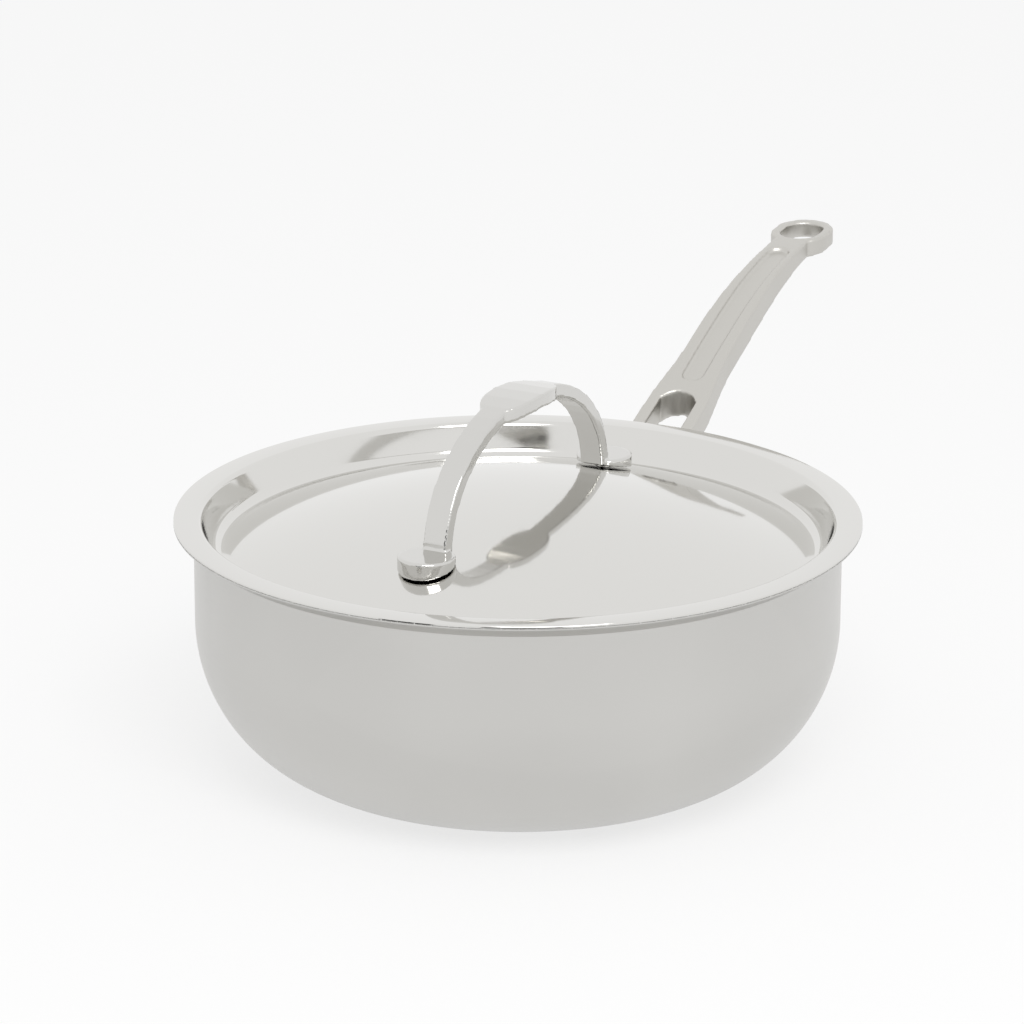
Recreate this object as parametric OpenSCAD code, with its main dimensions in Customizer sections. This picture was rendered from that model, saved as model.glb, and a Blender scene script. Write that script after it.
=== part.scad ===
// Saucier pan with a lid: a bonded steel and aluminium bowl, a cast fork handle held by rivets,
// and a stamped lid with a cast arch handle.
// Origin at the centre of the base's underside, +Z up, the long handle along +X.

/* [Pan] */
// Radius of the upright wall, outside
wall_r = 125.3; // [115:0.1:135]
// How far the lip flares out past the wall
lip_out = 7.7; // [5:0.1:10]
// Height of the lip's top above the table
lip_z = 100.8; // [90:0.1:115]
// Height of the lip's bare edge
lip_edge = 1.4; // [1:0.1:2]
// Height of the flare under the lip
flare_h = 4.6; // [3:0.1:8]
// Reach of the round corner between wall and base
corner_w = 58; // [45:1:62]
// Height of the round corner between wall and base
corner_h = 61; // [50:1:66]
// Thickness of the outer steel skin
skin_t = 0.6; // [0.4:0.1:1]
// Thickness of the aluminium core
core_t = 1.5; // [1:0.1:2]
// Thickness of the inner steel liner
liner_t = 0.5; // [0.4:0.1:0.8]
// Width of the steel seal that closes the core at the lip
seal_w = 0.8; // [0.5:0.1:1]

/* [Lid] */
// Thickness of the lid's sheet
lid_t = 1.2; // [0.8:0.1:1.4]
// Width of the flat flange that rests on the lip
flange_w = 11.1; // [9.5:0.1:12]
// Depth of the lid's well below the flange
well_depth = 13; // [9:0.5:16]
// How far the well's wall draws in on its way down
well_draft = 3; // [2:0.1:4]
// Radius of the bends above and below the well's wall
well_bend = 2.2; // [1.8:0.1:3]
// Radius of the domed centre
dome_r = 317; // [280:1:400]
// Turn of the lid on its seat
lid_turn = -3; // [-20:1:20]

/* [Lid handle] */
// Distance between the centres of the two pads
pad_span = 147.4; // [120:0.2:160]
// Radius of a pad
pad_r = 11; // [9:0.5:13]
// Thickness of a pad
pad_t = 4.2; // [3.5:0.1:6]
// Height of the arch's top above the lid's flange
arch_h = 49; // [40:1:60]
// Thickness of the arch's strap
strap_t = 5.4; // [4:0.1:7]
// Width of the strap at its legs
strap_w = 10; // [8:0.5:13]
// Width of the grip at the top
grip_w = 21; // [14:0.5:24]
// Length of the wide part of the grip
grip_len = 44; // [30:1:60]

// How far a leg stands in from the centre of its pad
foot_in = 8.5; // [6:0.5:10]

/* [Long handle] */
// Distance from the pan's axis to the centre of the hanging ring
ring_x = 293; // [260:1:330]
// Height of the hanging ring above the table
ring_z = 142.5; // [130:0.5:165]
// Half the length of the hanging ring
ring_a = 15; // [13:0.5:18]
// Half the width of the hanging ring
ring_b = 12.5; // [11:0.5:15]
// Width of the metal round the hanging hole
ring_rim = 4.2; // [3:0.1:5]
// Thickness of the ring
ring_t = 7; // [5:0.5:8]
// Width of the grip
shaft_w = 20; // [17:0.5:24]
// Thickness of the grip
shaft_t = 11.5; // [9:0.5:14]
// Width over the two legs of the fork
fork_w = 26.6; // [24:0.2:30]
// Width of one leg of the fork
leg_w = 5.4; // [4:0.1:6]
// Distance from the pan's wall to the far end of the fork's window
window_len = 37; // [25:1:45]
// Depth of the thumb groove
groove_d = 1.8; // [1:0.1:2.5]
// Width of the thumb groove
groove_w = 9.5; // [7:0.5:11]
// Width of the mounting plate
plate_w = 44; // [40:1:50]
// Height of the mounting plate
plate_h = 30; // [26:1:32]
// Thickness of the mounting plate
plate_t = 3.6; // [3:0.1:5]

/* [Rivets] */
// Radius of a handle rivet's shank
rivet_r = 3; // [2.5:0.1:3.5]
// Radius of a handle rivet's head
rivet_head_r = 5.5; // [4.5:0.1:6]
// Height of a rivet's head
rivet_head_t = 1.2; // [0.8:0.1:2]
// Distance between the two upper handle rivets
rivet_pitch = 28; // [24:0.5:30]
// Drop from the upper rivets to the lower one
rivet_drop = 14; // [10:0.5:15]
// Radius of a lid rivet's shank
stud_r = 2.5; // [2:0.1:3]
// Gap all round a rivet in its hole
rivet_gap = 0.05; // [0.02:0.01:0.1]
// Gap between the lid and the pan's lip
seat_gap = 0.05; // [0.02:0.01:0.3]

/* [Hidden] */
$fn = 96;
lip_r = wall_r + lip_out;
wall_t = skin_t + core_t + liner_t;
base_r = wall_r - corner_w;
inner_r = wall_r - wall_t;
arc_steps = 14;

// The lid's flange lies on the lip
flange_z = lip_z + seat_gap + lid_t;
well_r = lip_r - flange_w;
well_floor_r = well_r - well_draft;
pad_x = pad_span / 2;
arch_z = flange_z + arch_h;
dome_edge_r = well_floor_r - 2 * well_bend;
dome_drop = dome_r - sqrt(dome_r * dome_r - dome_edge_r * dome_edge_r);
dome_top_z = flange_z - well_depth + dome_drop;

// Where the long handle meets the pan
plate_x = wall_r;
plate_top_z = lip_z - lip_edge - flare_h - 1;
plate_mid_z = plate_top_z - plate_h / 2;
rivet_top_z = plate_top_z - 8;
leg_z = plate_top_z - 6.5;

function unit(v) = v / norm(v);
function side(a, b) = let (d = unit(b - a)) [-d[1], d[0]];
// The corner of two offset edges, so that a ply keeps its thickness round a bend
function corner(p, i) = let (
    last = len(p) - 1,
    before = i == 0 ? side(p[0], p[1]) : side(p[i - 1], p[i]),
    after = i == last ? before : side(p[i], p[i + 1]))
    (before + after) / (1 + before * after);
function offset_path(p, t) = [for (i = [0 : len(p) - 1]) p[i] + t * corner(p, i)];
function reversed(p) = [for (i = [len(p) - 1 : -1 : 0]) p[i]];
function on_axis(p) = [for (i = [0 : len(p) - 1]) i == 0 ? [0, p[i][1]] : p[i]];
function bezier(p0, p1, p2, p3, u) = (1 - u) ^ 3 * p0 + 3 * (1 - u) ^ 2 * u * p1
    + 3 * (1 - u) * u ^ 2 * p2 + u ^ 3 * p3;
function mix(a, b, u) = a + (b - a) * u;
function ease(u) = let (v = max(0, min(1, u))) v * v * (3 - 2 * v);

// The pan's outside, from the centre of the base to past the lip
bowl_path = concat(
    [[0, 0]],
    [for (i = [0 : arc_steps]) let (a = 90 * i / arc_steps)
        [base_r + corner_w * sin(a), corner_h * (1 - cos(a))]],
    [[wall_r, lip_z - lip_edge - flare_h],
     [lip_r, lip_z - lip_edge],
     [lip_r + 2 * wall_t, lip_z - lip_edge + flare_h * 2 * wall_t / lip_out]]);

module ply(from_t, to_t, max_r, max_z) {
    rotate_extrude() intersection() {
        polygon(concat(on_axis(offset_path(bowl_path, from_t)),
            reversed(on_axis(offset_path(bowl_path, to_t)))));
        square([max_r, max_z]);
    }
}

module rivet_shanks(r) {
    for (p = [[-rivet_pitch / 2, rivet_top_z], [rivet_pitch / 2, rivet_top_z],
              [0, rivet_top_z - rivet_drop]])
        translate([inner_r - 4, p[0], p[1]]) rotate([0, 90, 0])
            cylinder(h = plate_t + wall_t + 12, r = r);
}

module pan_outer_skin() {
    color("silver") difference() {
        ply(0, skin_t, lip_r, lip_z);
        rivet_shanks(rivet_r + rivet_gap);
    }
}

module aluminium_core() {
    color("lightgray") difference() {
        ply(skin_t, skin_t + core_t, lip_r - seal_w, lip_z - seal_w);
        rivet_shanks(rivet_r + rivet_gap);
    }
}

module pan_inner_liner() {
    color("gainsboro") difference() {
        union() {
            ply(skin_t + core_t, wall_t, lip_r, lip_z);
            // The seal that folds over the core's edge at the lip
            rotate_extrude() difference() {
                intersection() {
                    polygon(concat(on_axis(offset_path(bowl_path, skin_t)),
                        reversed(on_axis(offset_path(bowl_path, wall_t)))));
                    translate([wall_r, 0]) square([lip_out, lip_z]);
                }
                square([lip_r - seal_w, lip_z - seal_w]);
            }
        }
        rivet_shanks(rivet_r + rivet_gap);
    }
}

module rounded_rect(w, h, r) {
    square([w - 2 * r, h], center = true);
    square([w, h - 2 * r], center = true);
    for (x = [-1, 1], y = [-1, 1]) translate([x * (w / 2 - r), y * (h / 2 - r)]) circle(r);
}

// Centre line of the long handle, from the plate to the tip of the ring
tip_x = ring_x + ring_a;
function handle_mid(u) = bezier([wall_r + plate_t / 2, leg_z], [wall_r + 55, leg_z + 19],
    [ring_x - 65, ring_z - 3], [tip_x, ring_z], u);
function handle_half(u) = mix(mix(6, shaft_t / 2, ease(u * 3)), ring_t / 2, ease((u - 0.6) / 0.35));
handle_steps = 20;
handle_top = [for (i = [0 : handle_steps]) let (u = i / handle_steps)
    handle_mid(u) + [0, handle_half(u)]];
handle_under = [for (i = [0 : handle_steps]) let (u = i / handle_steps)
    handle_mid(u) - [0, handle_half(u)]];

// Plan of one side of the long handle, from the pan to the ring
waist_w = 12.5;
side_steps = 18;
window_end = wall_r + window_len;
function plan_half(x) = let (
    from_fork = mix(fork_w / 2, shaft_w / 2, ease((x - window_end + 12) / 40)),
    to_ring = mix(from_fork, waist_w / 2 + 1.5, ease((x - ring_x + 100) / 75)))
    to_ring;
plan_from = wall_r - 2;
plan_to = ring_x - ring_a * 0.55;
plan_side = [for (i = [0 : side_steps]) let (x = mix(plan_from, plan_to, i / side_steps)) [x, plan_half(x)]];
plan_back = reversed([for (p = plan_side) [p[0], -p[1]]]);

module stadium(from_x, to_x, w) {
    translate([from_x + w / 2, -w / 2]) square([to_x - from_x - w, w]);
    for (x = [from_x + w / 2, to_x - w / 2]) translate([x, 0]) circle(w / 2);
}

module ring_plan(a, b) {
    translate([-(a - b), -b]) square([2 * (a - b), 2 * b]);
    for (s = [-1, 1]) translate([s * (a - b), 0]) circle(b);
}

module handle_slab(points) {
    rotate([90, 0, 0]) linear_extrude(height = 2 * plate_w, center = true) polygon(points);
}

module long_handle() {
    color("darkgray") difference() {
        union() {
            intersection() {
                handle_slab(concat(handle_under, reversed(handle_top)));
                linear_extrude(height = 3 * ring_z) {
                    polygon(concat(plan_side, plan_back));
                    translate([ring_x, 0]) ring_plan(ring_a, ring_b);
                }
            }
            // The plate that hugs the wall
            intersection() {
                translate([0, 0, plate_mid_z]) rotate([0, 90, 0]) linear_extrude(height = 2 * wall_r)
                    rounded_rect(plate_h, plate_w, 7);
                cylinder(h = lip_z, r = wall_r + plate_t, $fn = 180);
            }
        }
        // The bowl's wall and the lip's flare
        translate([0, 0, -1]) cylinder(h = lip_z + 2, r = wall_r, $fn = 180);
        translate([0, 0, lip_z - lip_edge - flare_h])
            cylinder(h = flare_h, r1 = wall_r, r2 = lip_r + 0.3, $fn = 180);
        translate([0, 0, lip_z - lip_edge]) cylinder(h = 12, r = lip_r + 0.5, $fn = 180);
        // The fork's window
        translate([0, 0, ring_z - 100]) linear_extrude(height = 200)
            translate([wall_r + plate_t, 0]) union() {
                translate([0, -(fork_w / 2 - leg_w)])
                    square([window_len - plate_t - 4, fork_w - 2 * leg_w]);
                translate([window_len - plate_t - 8 + 0.5, 0]) scale(1) circle(fork_w / 2 - leg_w);
            }
        // The hole in the ring
        linear_extrude(height = 3 * ring_z) translate([ring_x, 0])
            ring_plan(ring_a - ring_rim, ring_b - ring_rim);
        // The thumb groove
        intersection() {
            handle_slab(concat([for (p = handle_top) p - [0, groove_d]],
                reversed([for (p = handle_top) p + [0, 20]])));
            linear_extrude(height = 3 * ring_z)
                stadium(window_end + 7, ring_x - ring_a - 8, groove_w);
        }
        rivet_shanks(rivet_r + rivet_gap);
    }
}

module rivet_head(r, h) {
    cylinder(h = h / 2, r = r);
    translate([0, 0, h / 2]) cylinder(h = h / 2, r1 = r, r2 = r * 0.72);
}

module handle_rivets() {
    color("silver") for (p = [[-rivet_pitch / 2, rivet_top_z], [rivet_pitch / 2, rivet_top_z],
                              [0, rivet_top_z - rivet_drop]]) {
        inside_x = sqrt(inner_r * inner_r - pow(abs(p[0]) + rivet_head_r, 2)) - 0.1;
        outside_x = sqrt(pow(wall_r + plate_t, 2) - p[0] * p[0]);
        translate([inside_x, p[0], p[1]]) rotate([0, 90, 0])
            cylinder(h = outside_x - inside_x, r = rivet_r);
        translate([inside_x, p[0], p[1]]) rotate([0, -90, 0]) rivet_head(rivet_head_r, rivet_head_t);
    }
}

// The lid's top face, from the centre to the flange's edge
lid_top = concat(
    [[0, dome_top_z]],
    [for (i = [1 : arc_steps]) let (r = dome_edge_r * i / arc_steps)
        [r, dome_top_z - dome_r + sqrt(dome_r * dome_r - r * r)]],
    [for (i = [1 : 5]) let (a = 80 * i / 5)
        [dome_edge_r + 2 * well_bend * sin(a), flange_z - well_depth + 2 * well_bend * (1 - cos(a))]],
    [for (i = [0 : 4]) let (a = 80 - 80 * i / 4)
        [well_r + well_bend * (1 - sin(a)), flange_z - well_bend * (1 - cos(a))]],
    [[lip_r, flange_z]]);

module lid_shell() {
    color("silver") rotate(lid_turn) difference() {
        rotate_extrude() polygon(concat(on_axis(lid_top), reversed(on_axis(offset_path(lid_top, -lid_t)))));
        for (s = [-1, 1]) translate([s * pad_x, 0, 0]) cylinder(h = 2 * lip_z, r = stud_r + rivet_gap);
    }
}

function dome_z(r) = dome_top_z - dome_r + sqrt(dome_r * dome_r - r * r);
pad_z = dome_z(pad_x);
// The arch's centre line: a tall rounded curve from pad to pad
arch_steps = 24;
arch_power = 2.1;
arch_rise = arch_z - strap_t / 2 - pad_z;
arch_reach = pad_x - foot_in;
function arch_point(a, grow) = let (c = cos(a), s = sin(a))
    [sign(c) * (arch_reach + grow) * pow(abs(c), 2 / arch_power),
     pad_z + (arch_rise + grow) * pow(s, 2 / arch_power)];

module lid_handle() {
    outer = [for (i = [0 : arch_steps]) arch_point(180 * i / arch_steps, strap_t / 2)];
    inner = [for (i = [0 : arch_steps]) arch_point(180 * i / arch_steps, -strap_t / 2)];
    color("gainsboro") rotate(lid_turn) difference() {
        union() {
            intersection() {
                rotate([90, 0, 0]) linear_extrude(height = grip_w + 2, center = true)
                    polygon(concat(outer, reversed(inner)));
                linear_extrude(height = 3 * lip_z) {
                    square([2 * pad_span, strap_w], center = true);
                    polygon([for (i = [0 : 35]) let (a = 10 * i)
                        [sign(cos(a)) * grip_len / 2 * pow(abs(cos(a)), 0.8),
                         sign(sin(a)) * grip_w / 2 * pow(abs(sin(a)), 0.8)]]);
                }
            }
            for (s = [-1, 1]) translate([s * pad_x, 0, pad_z - 3]) cylinder(h = pad_t + 3, r = pad_r);
        }
        // The dome under the pads
        translate([0, 0, dome_top_z - dome_r]) sphere(r = dome_r + 0.1, $fn = 360);
        // Blind holes for the studs
        for (s = [-1, 1]) translate([s * pad_x, 0, pad_z - 4])
            cylinder(h = 4 + pad_t - 1.2, r = stud_r + rivet_gap);
    }
}

module lid_rivets() {
    color("silver") rotate(lid_turn) for (s = [-1, 1]) {
        under_z = dome_z(pad_x + stud_r * 2) - lid_t - 0.1;
        translate([s * pad_x, 0, under_z]) cylinder(h = pad_z + pad_t - 1.3 - under_z, r = stud_r);
        translate([s * pad_x, 0, under_z]) rotate([180, 0, 0]) rivet_head(stud_r * 2, rivet_head_t);
    }
}

pan_outer_skin();
aluminium_core();
pan_inner_liner();
long_handle();
handle_rivets();
lid_shell();
lid_handle();
lid_rivets();
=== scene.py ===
import math

import bmesh
import bpy
from mathutils import Matrix, Vector


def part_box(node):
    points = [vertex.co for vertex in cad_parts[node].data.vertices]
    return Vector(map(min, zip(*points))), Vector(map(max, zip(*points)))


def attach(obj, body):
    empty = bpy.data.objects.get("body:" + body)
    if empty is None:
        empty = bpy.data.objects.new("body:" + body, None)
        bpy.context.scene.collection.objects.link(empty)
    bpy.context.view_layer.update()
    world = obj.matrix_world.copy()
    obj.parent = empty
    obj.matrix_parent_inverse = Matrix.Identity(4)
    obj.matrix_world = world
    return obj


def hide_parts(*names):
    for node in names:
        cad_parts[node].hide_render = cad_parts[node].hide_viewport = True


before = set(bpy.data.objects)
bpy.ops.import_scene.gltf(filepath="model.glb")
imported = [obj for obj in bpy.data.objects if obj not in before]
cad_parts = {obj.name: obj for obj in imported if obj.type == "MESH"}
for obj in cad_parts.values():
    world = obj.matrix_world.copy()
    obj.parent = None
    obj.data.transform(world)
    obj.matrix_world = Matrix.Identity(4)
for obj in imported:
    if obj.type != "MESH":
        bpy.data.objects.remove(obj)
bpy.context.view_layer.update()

mm = 0.001

# The camera stands where the photo's did: a long lens that looks down at the middle of the rim
camera = {
    "distance": 2.0,            # metres from the middle of the rim
    "elevation": 17.93,         # degrees above the table
    "handleTurn": 24.7,         # degrees that the long handle points to the right of straight away
    "lens": 181.9,
    "sensor": 36.0,
    "roll": 0.004,              # radians
    "aimOffsetPx": (6.07, 1.87),
    "framePx": 1024,
    "lidSheet": 1.25,           # the photo was measured to the top of the lid's flange
}


def hexColour(code):
    # sRGB hex to linear, with an alpha of 1
    parts = [int(code[i:i + 2], 16) / 255 for i in (1, 3, 5)]
    return [p / 12.92 if p <= 0.04045 else ((p + 0.055) / 1.055) ** 2.4 for p in parts] + [1.0]


def linkObject(name, data):
    made = bpy.data.objects.new(name, data)
    bpy.context.scene.collection.objects.link(made)
    return made


def cadPiece(nodeName):
    # The frame gives a CAD node's object, or the name of it
    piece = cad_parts[nodeName]
    return bpy.data.objects[piece] if isinstance(piece, str) else piece


def addNode(tree, kind, settings=None, inputs=None):
    # One node with its settings and its inputs: a socket is linked, anything else is a value
    made = tree.nodes.new(kind)
    for key, value in (settings or {}).items():
        setattr(made, key, value)
    for key, value in (inputs or {}).items():
        if isinstance(value, bpy.types.NodeSocket):
            tree.links.new(value, made.inputs[key])
        else:
            made.inputs[key].default_value = value
    return made


def newMaterial(name):
    material = bpy.data.materials.new(name)
    material.use_nodes = True
    tree = material.node_tree
    tree.nodes.clear()
    return material, tree


def finishMaterial(tree, shader):
    addNode(tree, "ShaderNodeOutputMaterial", inputs={"Surface": shader.outputs[0]})


def objectPlace(tree):
    return addNode(tree, "ShaderNodeTexCoord").outputs["Object"]


def roundTheAxis(tree, place):
    # Coordinates that run round the pan: how far round, how far out, how high
    split = addNode(tree, "ShaderNodeSeparateXYZ", inputs={0: place})
    turn = addNode(tree, "ShaderNodeMath", {"operation": "ARCTAN2"},
                   {0: split.outputs["Y"], 1: split.outputs["X"]})
    flat = addNode(tree, "ShaderNodeCombineXYZ",
                   inputs={"X": split.outputs["X"], "Y": split.outputs["Y"]})
    out = addNode(tree, "ShaderNodeVectorMath", {"operation": "LENGTH"}, {0: flat.outputs[0]})
    return turn.outputs[0], out.outputs["Value"], split.outputs["Z"]


def brushedSteel(name, hexCode, grainMm, roughness):
    # 18/10 stainless steel brushed round the axis on a lathe: fine streaks stretch each highlight
    streakSquash = 0.004        # a streak is long round the pan and fine across it
    cloudScale, cloudHex = 9.0, "#D6D5D2"
    smoother, rougher = 0.05, 0.07
    grainStrength, grainDepth = 0.06, 0.00004
    stretch = 0.6

    material, tree = newMaterial(name)
    place = objectPlace(tree)
    turn, out, height = roundTheAxis(tree, place)
    along = addNode(tree, "ShaderNodeMath", {"operation": "MULTIPLY"}, {0: turn, 1: streakSquash})
    streak = addNode(tree, "ShaderNodeCombineXYZ",
                     inputs={"X": along.outputs[0], "Y": out, "Z": height})
    grain = addNode(tree, "ShaderNodeTexNoise", inputs={
        "Vector": streak.outputs[0], "Scale": 1 / (grainMm * mm), "Detail": 3.0, "Roughness": 0.6})
    cloud = addNode(tree, "ShaderNodeTexNoise", inputs={
        "Vector": place, "Scale": cloudScale, "Detail": 2.0})
    rough = addNode(tree, "ShaderNodeMapRange", inputs={
        "Value": grain.outputs["Fac"],
        "To Min": roughness - smoother, "To Max": roughness + rougher})
    tint = addNode(tree, "ShaderNodeMix", {"data_type": "RGBA"}, {
        "Factor": cloud.outputs["Fac"], "A": hexColour(hexCode), "B": hexColour(cloudHex)})
    bump = addNode(tree, "ShaderNodeBump", inputs={
        "Strength": grainStrength, "Distance": grainDepth, "Height": grain.outputs["Fac"]})
    around = addNode(tree, "ShaderNodeTangent", {"direction_type": "RADIAL", "axis": "Z"})
    shader = addNode(tree, "ShaderNodeBsdfPrincipled", inputs={
        "Base Color": tint.outputs["Result"], "Metallic": 1.0, "Roughness": rough.outputs[0],
        "Anisotropic": stretch, "Tangent": around.outputs[0], "Normal": bump.outputs[0]})
    finishMaterial(tree, shader)
    return material


def polishedSteel(name, hexCode, roughness):
    # Buffed stainless steel: mirror bright, with the faint waves and wiping marks of a stamped sheet
    waveScale, waveStrength, waveDepth = 25.0, 0.05, 0.0002
    hazeScale = 140.0
    clearest, haziest = 0.6, 1.6        # as shares of the roughness

    material, tree = newMaterial(name)
    place = objectPlace(tree)
    wave = addNode(tree, "ShaderNodeTexNoise", inputs={
        "Vector": place, "Scale": waveScale, "Detail": 2.0})
    haze = addNode(tree, "ShaderNodeTexNoise", inputs={
        "Vector": place, "Scale": hazeScale, "Detail": 4.0})
    rough = addNode(tree, "ShaderNodeMapRange", inputs={
        "Value": haze.outputs["Fac"],
        "To Min": roughness * clearest, "To Max": roughness * haziest})
    bump = addNode(tree, "ShaderNodeBump", inputs={
        "Strength": waveStrength, "Distance": waveDepth, "Height": wave.outputs["Fac"]})
    shader = addNode(tree, "ShaderNodeBsdfPrincipled", inputs={
        "Base Color": hexColour(hexCode), "Metallic": 1.0, "Roughness": rough.outputs[0],
        "Normal": bump.outputs[0]})
    finishMaterial(tree, shader)
    return material


def castSteel(name, hexCode, gritMm, roughness):
    # Cast metal, bead blasted: soft grey with a very fine sparkle
    cloudScale = 60.0
    smoother, rougher = 0.04, 0.05
    gritStrength, gritDepth = 0.15, 0.00005

    material, tree = newMaterial(name)
    place = objectPlace(tree)
    grit = addNode(tree, "ShaderNodeTexNoise", inputs={
        "Vector": place, "Scale": 1 / (gritMm * mm), "Detail": 2.0})
    cloud = addNode(tree, "ShaderNodeTexNoise", inputs={
        "Vector": place, "Scale": cloudScale, "Detail": 3.0})
    rough = addNode(tree, "ShaderNodeMapRange", inputs={
        "Value": cloud.outputs["Fac"],
        "To Min": roughness - smoother, "To Max": roughness + rougher})
    bump = addNode(tree, "ShaderNodeBump", inputs={
        "Strength": gritStrength, "Distance": gritDepth, "Height": grit.outputs["Fac"]})
    shader = addNode(tree, "ShaderNodeBsdfPrincipled", inputs={
        "Base Color": hexColour(hexCode), "Metallic": 1.0, "Roughness": rough.outputs[0],
        "Normal": bump.outputs[0]})
    finishMaterial(tree, shader)
    return material


def addMesh(name, mesh, material, body, replaced, sharpAngle=35):
    piece = linkObject(name, mesh)
    mesh.materials.clear()
    mesh.materials.append(material)
    mesh.shade_smooth()
    mesh.set_sharp_from_angle(angle=math.radians(sharpAngle))
    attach(piece, body)
    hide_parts(*replaced)
    return piece


def lathe(name, profile, steps):
    # A closed outline of (radius, height) points in millimetres, turned round the Z axis
    onTheAxis = 1e-6
    shape = bmesh.new()
    rings = []
    for radius, height in profile:
        if radius < onTheAxis:
            rings.append([shape.verts.new((0, 0, height * mm))] * steps)
            continue
        rings.append([shape.verts.new((radius * mm * math.cos(2 * math.pi * k / steps),
                                       radius * mm * math.sin(2 * math.pi * k / steps),
                                       height * mm))
                      for k in range(steps)])
    for lower, upper in zip(rings, rings[1:] + rings[:1]):
        for k in range(steps):
            corners = [lower[k], lower[(k + 1) % steps], upper[(k + 1) % steps], upper[k]]
            different = list(dict.fromkeys(corners))
            if len(different) > 2:
                shape.faces.new(different)
    bmesh.ops.recalc_face_normals(shape, faces=shape.faces[:])
    mesh = bpy.data.meshes.new(name)
    shape.to_mesh(mesh)
    shape.free()
    return mesh


def arc(centre, radius, start, end, steps):
    # Points of an arc in the (radius, height) plane, angles in degrees
    return [(centre[0] + radius[0] * math.cos(math.radians(start + (end - start) * k / steps)),
             centre[1] + radius[1] * math.sin(math.radians(start + (end - start) * k / steps)))
            for k in range(steps + 1)]


# The pan's outer skin, in millimetres
pan = {
    "wallRadius": 125.3,
    "lipTop": 100.8,
    "lipEdge": 1.4,
    "lipLand": 1.5,             # the flat of the lip's top that the skin gives
    "lipUndercut": 0.4,
    "lipFace": 0.9,             # how far the lip's upright face reaches down
    "lipRound": 0.2,
    "flareHeight": 4.6,
    "neckStart": 1.2,           # the bend into the flare starts this far below it,
    "neckOut": 0.5,             # and ends this far out
    "neckEnd": 0.2,             # and this far up
    "neckInside": 0.4,
    "cornerReach": 58.0,
    "cornerHeight": 61.0,
    "skin": 0.6,
    "baseRings": 6,
    "cornerSteps": 40,
    "steps": 320,
}


def buildOuterSkin(material):
    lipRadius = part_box("pan_outer_skin")[1].x / mm
    wall, lipTop, reach, corner = (pan[key] for key in
                                   ("wallRadius", "lipTop", "cornerReach", "cornerHeight"))
    base = wall - reach
    neck = lipTop - pan["lipEdge"] - pan["flareHeight"]
    outside = [(0, 0)] + [(base * k / pan["baseRings"], 0) for k in range(1, pan["baseRings"])]
    outside += arc((base, corner), (reach, corner), -90, 0, pan["cornerSteps"])
    outside += [(wall, neck - pan["neckStart"]), (wall + pan["neckOut"], neck + pan["neckEnd"]),
                (lipRadius - pan["lipUndercut"], lipTop - pan["lipEdge"]),
                (lipRadius, lipTop - pan["lipFace"]), (lipRadius, lipTop - pan["lipRound"]),
                (lipRadius - pan["lipRound"], lipTop)]
    back = [(lipRadius - pan["lipLand"], lipTop),
            (wall - pan["skin"], neck + pan["neckInside"])]
    inside = arc((base, corner), (reach - pan["skin"], corner - pan["skin"]),
                 0, -90, pan["cornerSteps"])
    mesh = lathe("panOuterSkin", outside + back + inside + [(0, pan["skin"])], pan["steps"])
    return addMesh("panOuterSkin", mesh, material, "pan", ["pan_outer_skin"])


# The lid's sheet, in millimetres and degrees
lid = {
    "sheet": 1.2,
    "seatGap": 0.05,            # between the pan's lip and the lid's flange
    "flange": 11.1,
    "wellDepth": 13.0,
    "draft": 3.0,
    "bend": 2.2,
    "domeRadius": 317.0,
    "wallLean": 12,
    "nearlyFlat": 2,            # the bends stop this far short of level
    "rimRound": ((1.0, 0.02), (0.15, 0.12), (0.0, 0.35)),   # in from the edge, down from the top
    "rimUnder": ((0.0, 0.1), (0.2, 0.0)),                   # in from the edge, up from below
    "domeSteps": 40,
    "footSteps": 10,
    "bendSteps": 8,
}


def buildLidShell(material):
    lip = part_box("pan_outer_skin")[1]
    edge = lip.x / mm
    sheet, bend, domeRadius = lid["sheet"], lid["bend"], lid["domeRadius"]
    top = lip.z / mm + lid["seatGap"] + sheet
    well = edge - lid["flange"]
    fillet = 2 * bend
    domeEdge = well - lid["draft"] - fillet
    apex = top - lid["wellDepth"] + domeRadius - math.sqrt(domeRadius ** 2 - domeEdge ** 2)
    domeRadii = [domeEdge * k / lid["domeSteps"] for k in range(lid["domeSteps"])]
    domeTop = [(radius, apex - domeRadius + math.sqrt(domeRadius ** 2 - radius ** 2))
               for radius in domeRadii]
    footAngles = (-90 + lid["nearlyFlat"], -lid["wallLean"])
    bendAngles = (180 - lid["wallLean"], 90 + lid["nearlyFlat"])
    footCentre = (domeEdge, top - lid["wellDepth"] + fillet)
    bendCentre = (well + bend, top - bend)

    upper = domeTop + arc(footCentre, (fillet, fillet), *footAngles, lid["footSteps"])
    upper += arc(bendCentre, (bend, bend), *bendAngles, lid["bendSteps"])
    upper += [(edge - inward, top - down) for inward, down in lid["rimRound"]]
    under = [(edge - inward, top - sheet + up) for inward, up in lid["rimUnder"]]
    under += arc(bendCentre, (bend - sheet, bend - sheet), *reversed(bendAngles), lid["bendSteps"])
    under += arc(footCentre, (fillet + sheet, fillet + sheet), *reversed(footAngles),
                 lid["footSteps"])
    under += [(radius, height - sheet) for radius, height in reversed(domeTop)]
    mesh = lathe("lidShell", upper + under, pan["steps"])
    return addMesh("lidShell", mesh, material, "lid", ["lid_shell"])


longHandle = {"voxel": 0.6, "meltPasses": 8, "sharpAngle": 80}
lidHandle = {"voxel": 0.5, "meltPasses": 6, "sharpAngle": 80}


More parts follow.
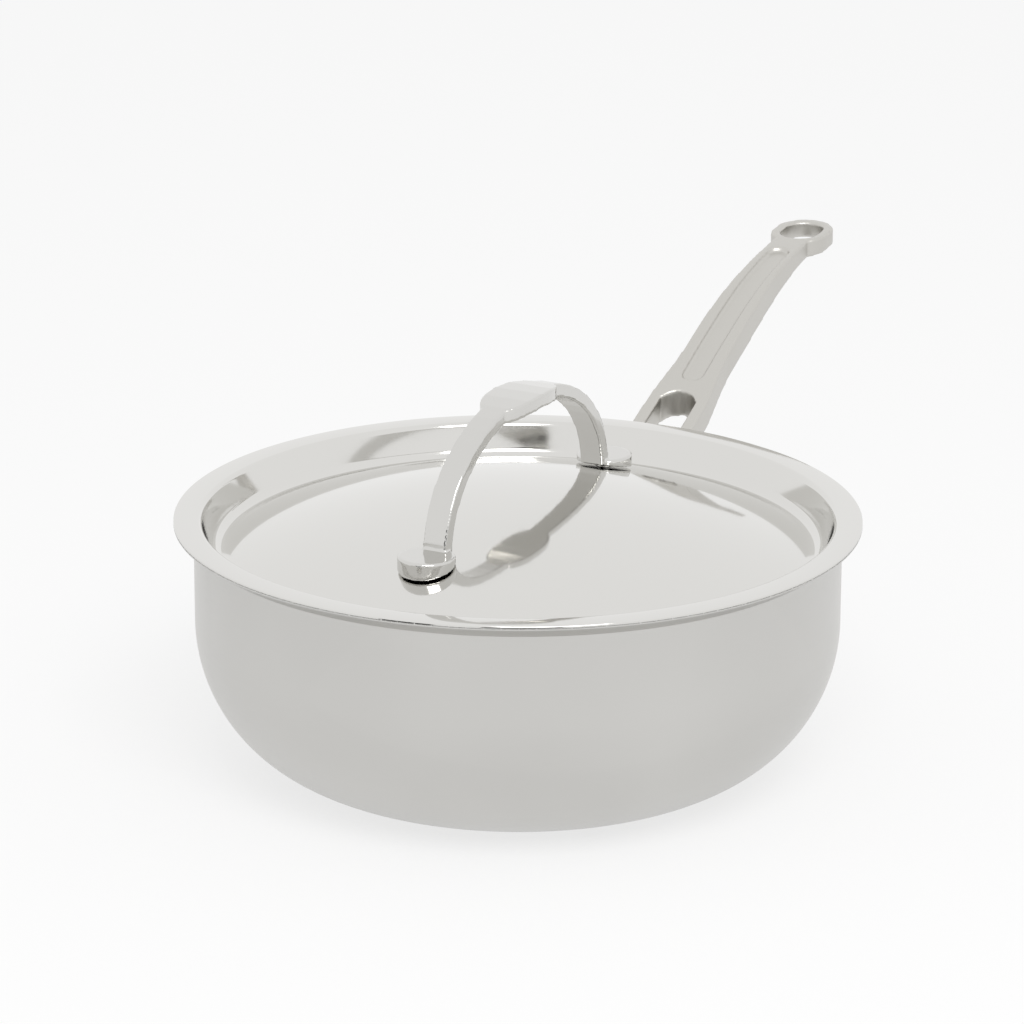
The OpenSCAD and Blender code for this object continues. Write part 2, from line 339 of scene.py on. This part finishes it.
def softCasting(name, nodeName, sizes):
    # A casting from its CAD solid: the sharp edges are melted round, as a tumbled casting has them
    sameVertex = 1e-6
    meltFactor = 0.5
    mesh = cadPiece(nodeName).data.copy()
    shape = bmesh.new()
    shape.from_mesh(mesh)
    bmesh.ops.remove_doubles(shape, verts=shape.verts[:], dist=sameVertex)
    shape.to_mesh(mesh)
    shape.free()
    draft = linkObject(name + "Draft", mesh)
    remesh = draft.modifiers.new("voxels", "REMESH")
    remesh.mode = "VOXEL"
    remesh.voxel_size = sizes["voxel"] * mm
    smooth = draft.modifiers.new("melt", "SMOOTH")
    smooth.factor = meltFactor
    smooth.iterations = sizes["meltPasses"]
    view = bpy.context.evaluated_depsgraph_get()
    result = bpy.data.meshes.new_from_object(draft.evaluated_get(view))
    result.name = name
    bpy.data.objects.remove(draft)
    return result


stage = {
    "floorSize": 6.0,
    "floorHex": "#F7F7F7",
    "floorGlow": 0.7,           # how much of the floor that is seen is plain white
    "skyLight": 0.75,           # the light that lands on things, where the sky that is seen is 1
}


def seenPlainly(tree):
    # 1 for what the camera or a reflection sees, 0 for the light that lands on things
    path = addNode(tree, "ShaderNodeLightPath")
    seen = addNode(tree, "ShaderNodeMath", {"operation": "MAXIMUM"},
                   {0: path.outputs["Is Camera Ray"], 1: path.outputs["Is Glossy Ray"]})
    return seen.outputs[0]


def buildFloor():
    material, tree = newMaterial("paleFloor")
    share = addNode(tree, "ShaderNodeMath", {"operation": "MULTIPLY"},
                    {0: seenPlainly(tree), 1: stage["floorGlow"]})
    paint = addNode(tree, "ShaderNodeBsdfDiffuse", inputs={"Color": hexColour(stage["floorHex"])})
    glow = addNode(tree, "ShaderNodeEmission", inputs={"Color": (1, 1, 1, 1), "Strength": 1.0})
    both = addNode(tree, "ShaderNodeMixShader", inputs={
        0: share.outputs[0], 1: paint.outputs[0], 2: glow.outputs[0]})
    finishMaterial(tree, both)
    half = stage["floorSize"] / 2
    mesh = bpy.data.meshes.new("floor")
    mesh.from_pydata([(-half, -half, 0), (half, -half, 0), (half, half, 0), (-half, half, 0)], [],
                     [(0, 1, 2, 3)])
    mesh.materials.append(material)
    linkObject("floor", mesh)


def buildSky():
    world = bpy.data.worlds.new("studio")
    bpy.context.scene.world = world
    world.use_nodes = True
    tree = world.node_tree
    tree.nodes.clear()
    level = addNode(tree, "ShaderNodeMapRange", inputs={
        "Value": seenPlainly(tree), "To Min": stage["skyLight"], "To Max": 1.0})
    back = addNode(tree, "ShaderNodeBackground", inputs={
        "Color": (1, 1, 1, 1), "Strength": level.outputs[0]})
    addNode(tree, "ShaderNodeOutputWorld", inputs={"Surface": back.outputs[0]})


# Upright cards on the camera's side of the pan, below the lens's view, for the polish to reflect
cards = [
    {"name": "darkCard", "distance": 1.15, "sideways": 0.03, "low": 0.12, "high": 0.36,
     "width": 0.5, "hexCode": "#060606"},
    {"name": "greyCardLeft", "distance": 0.9, "sideways": -0.62, "low": 0.0, "high": 0.26,
     "width": 0.4, "hexCode": "#3A3A3A"},
]


def addCard(name, distance, sideways, low, high, width, hexCode):
    turn = math.radians(camera["handleTurn"])
    toCamera = Vector((-math.cos(turn), -math.sin(turn), 0))
    across = Vector((math.sin(turn), -math.cos(turn), 0))
    foot = toCamera * distance + across * sideways
    left, right = -width / 2, width / 2
    corners = [foot + across * x + Vector((0, 0, z))
               for x, z in ((left, low), (right, low), (right, high), (left, high))]
    mesh = bpy.data.meshes.new(name)
    mesh.from_pydata([corner[:] for corner in corners], [], [(0, 1, 2, 3)])
    material, tree = newMaterial(name)
    finishMaterial(tree, addNode(tree, "ShaderNodeBsdfDiffuse",
                                 inputs={"Color": hexColour(hexCode)}))
    mesh.materials.append(material)
    linkObject(name, mesh)


def buildCamera():
    turn = math.radians(camera["handleTurn"])
    tilt = math.radians(camera["elevation"])
    rim = Vector((0, 0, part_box("pan_outer_skin")[1].z + camera["lidSheet"] * mm))
    away = Vector((math.cos(turn) * math.cos(tilt), math.sin(turn) * math.cos(tilt),
                   -math.sin(tilt)))
    lens = bpy.data.cameras.new("camera")
    lens.lens = camera["lens"]
    lens.sensor_width = camera["sensor"]
    lens.shift_x = -camera["aimOffsetPx"][0] / camera["framePx"]
    lens.shift_y = camera["aimOffsetPx"][1] / camera["framePx"]
    viewer = linkObject("camera", lens)
    aimed = away.to_track_quat("-Z", "Y").to_matrix().to_4x4()
    viewer.matrix_world = (Matrix.Translation(rim - away * camera["distance"]) @ aimed
                           @ Matrix.Rotation(camera["roll"], 4, "Z"))
    bpy.context.scene.camera = viewer


softbox = {"place": (-1.2, -0.9, 1.6), "aim": (0, 0, 0.08), "size": (1.2, 1.2), "watts": 18}


def areaLight(name, place, aim, size, watts):
    lamp = bpy.data.lights.new(name, "AREA")
    lamp.shape = "RECTANGLE"
    lamp.size, lamp.size_y = size
    lamp.energy = watts
    holder = linkObject(name, lamp)
    aimed = (Vector(aim) - Vector(place)).to_track_quat("-Z", "Y").to_matrix().to_4x4()
    holder.matrix_world = Matrix.Translation(place) @ aimed


bpy.context.scene.view_settings.view_transform = "Standard"
buildCamera()
buildFloor()
buildSky()
for card in cards:
    addCard(**card)
areaLight("softbox", **softbox)
print("stage ready")

satinOutside = brushedSteel("brushedSteelOutside", "#C6C5C2", grainMm=0.35, roughness=0.3)
satinInside = brushedSteel("brushedSteelInside", "#CCCBC8", grainMm=0.4, roughness=0.28)
mirrorLid = polishedSteel("polishedSteelLid", "#DAD9D6", roughness=0.07)
mirrorCast = polishedSteel("polishedCastSteel", "#D2D1CE", roughness=0.1)
satinCast = castSteel("castSteelBlasted", "#C9C7C2", gritMm=0.35, roughness=0.36)
coreMetal = castSteel("aluminiumCore", "#D9D9DA", gritMm=0.5, roughness=0.45)

buildOuterSkin(satinOutside)
buildLidShell(mirrorLid)
handleMesh = softCasting("longHandle", "long_handle", longHandle)
addMesh("longHandle", handleMesh, satinCast, "pan", ["long_handle"],
        longHandle["sharpAngle"])
archMesh = softCasting("lidHandle", "lid_handle", lidHandle)
addMesh("lidHandle", archMesh, mirrorCast, "lid", ["lid_handle"],
        lidHandle["sharpAngle"])
print("pan and handles ready")

cadFinishes = {
    "aluminium_core": coreMetal,
    "pan_inner_liner": satinInside,
    "handle_rivets": mirrorCast,
    "lid_rivets": mirrorCast,
}
for nodeName, material in cadFinishes.items():
    node = cadPiece(nodeName)
    if node.material_slots:
        for part in node.material_slots:
            part.material = material
    else:
        node.data.materials.append(material)
print("finishes ready")
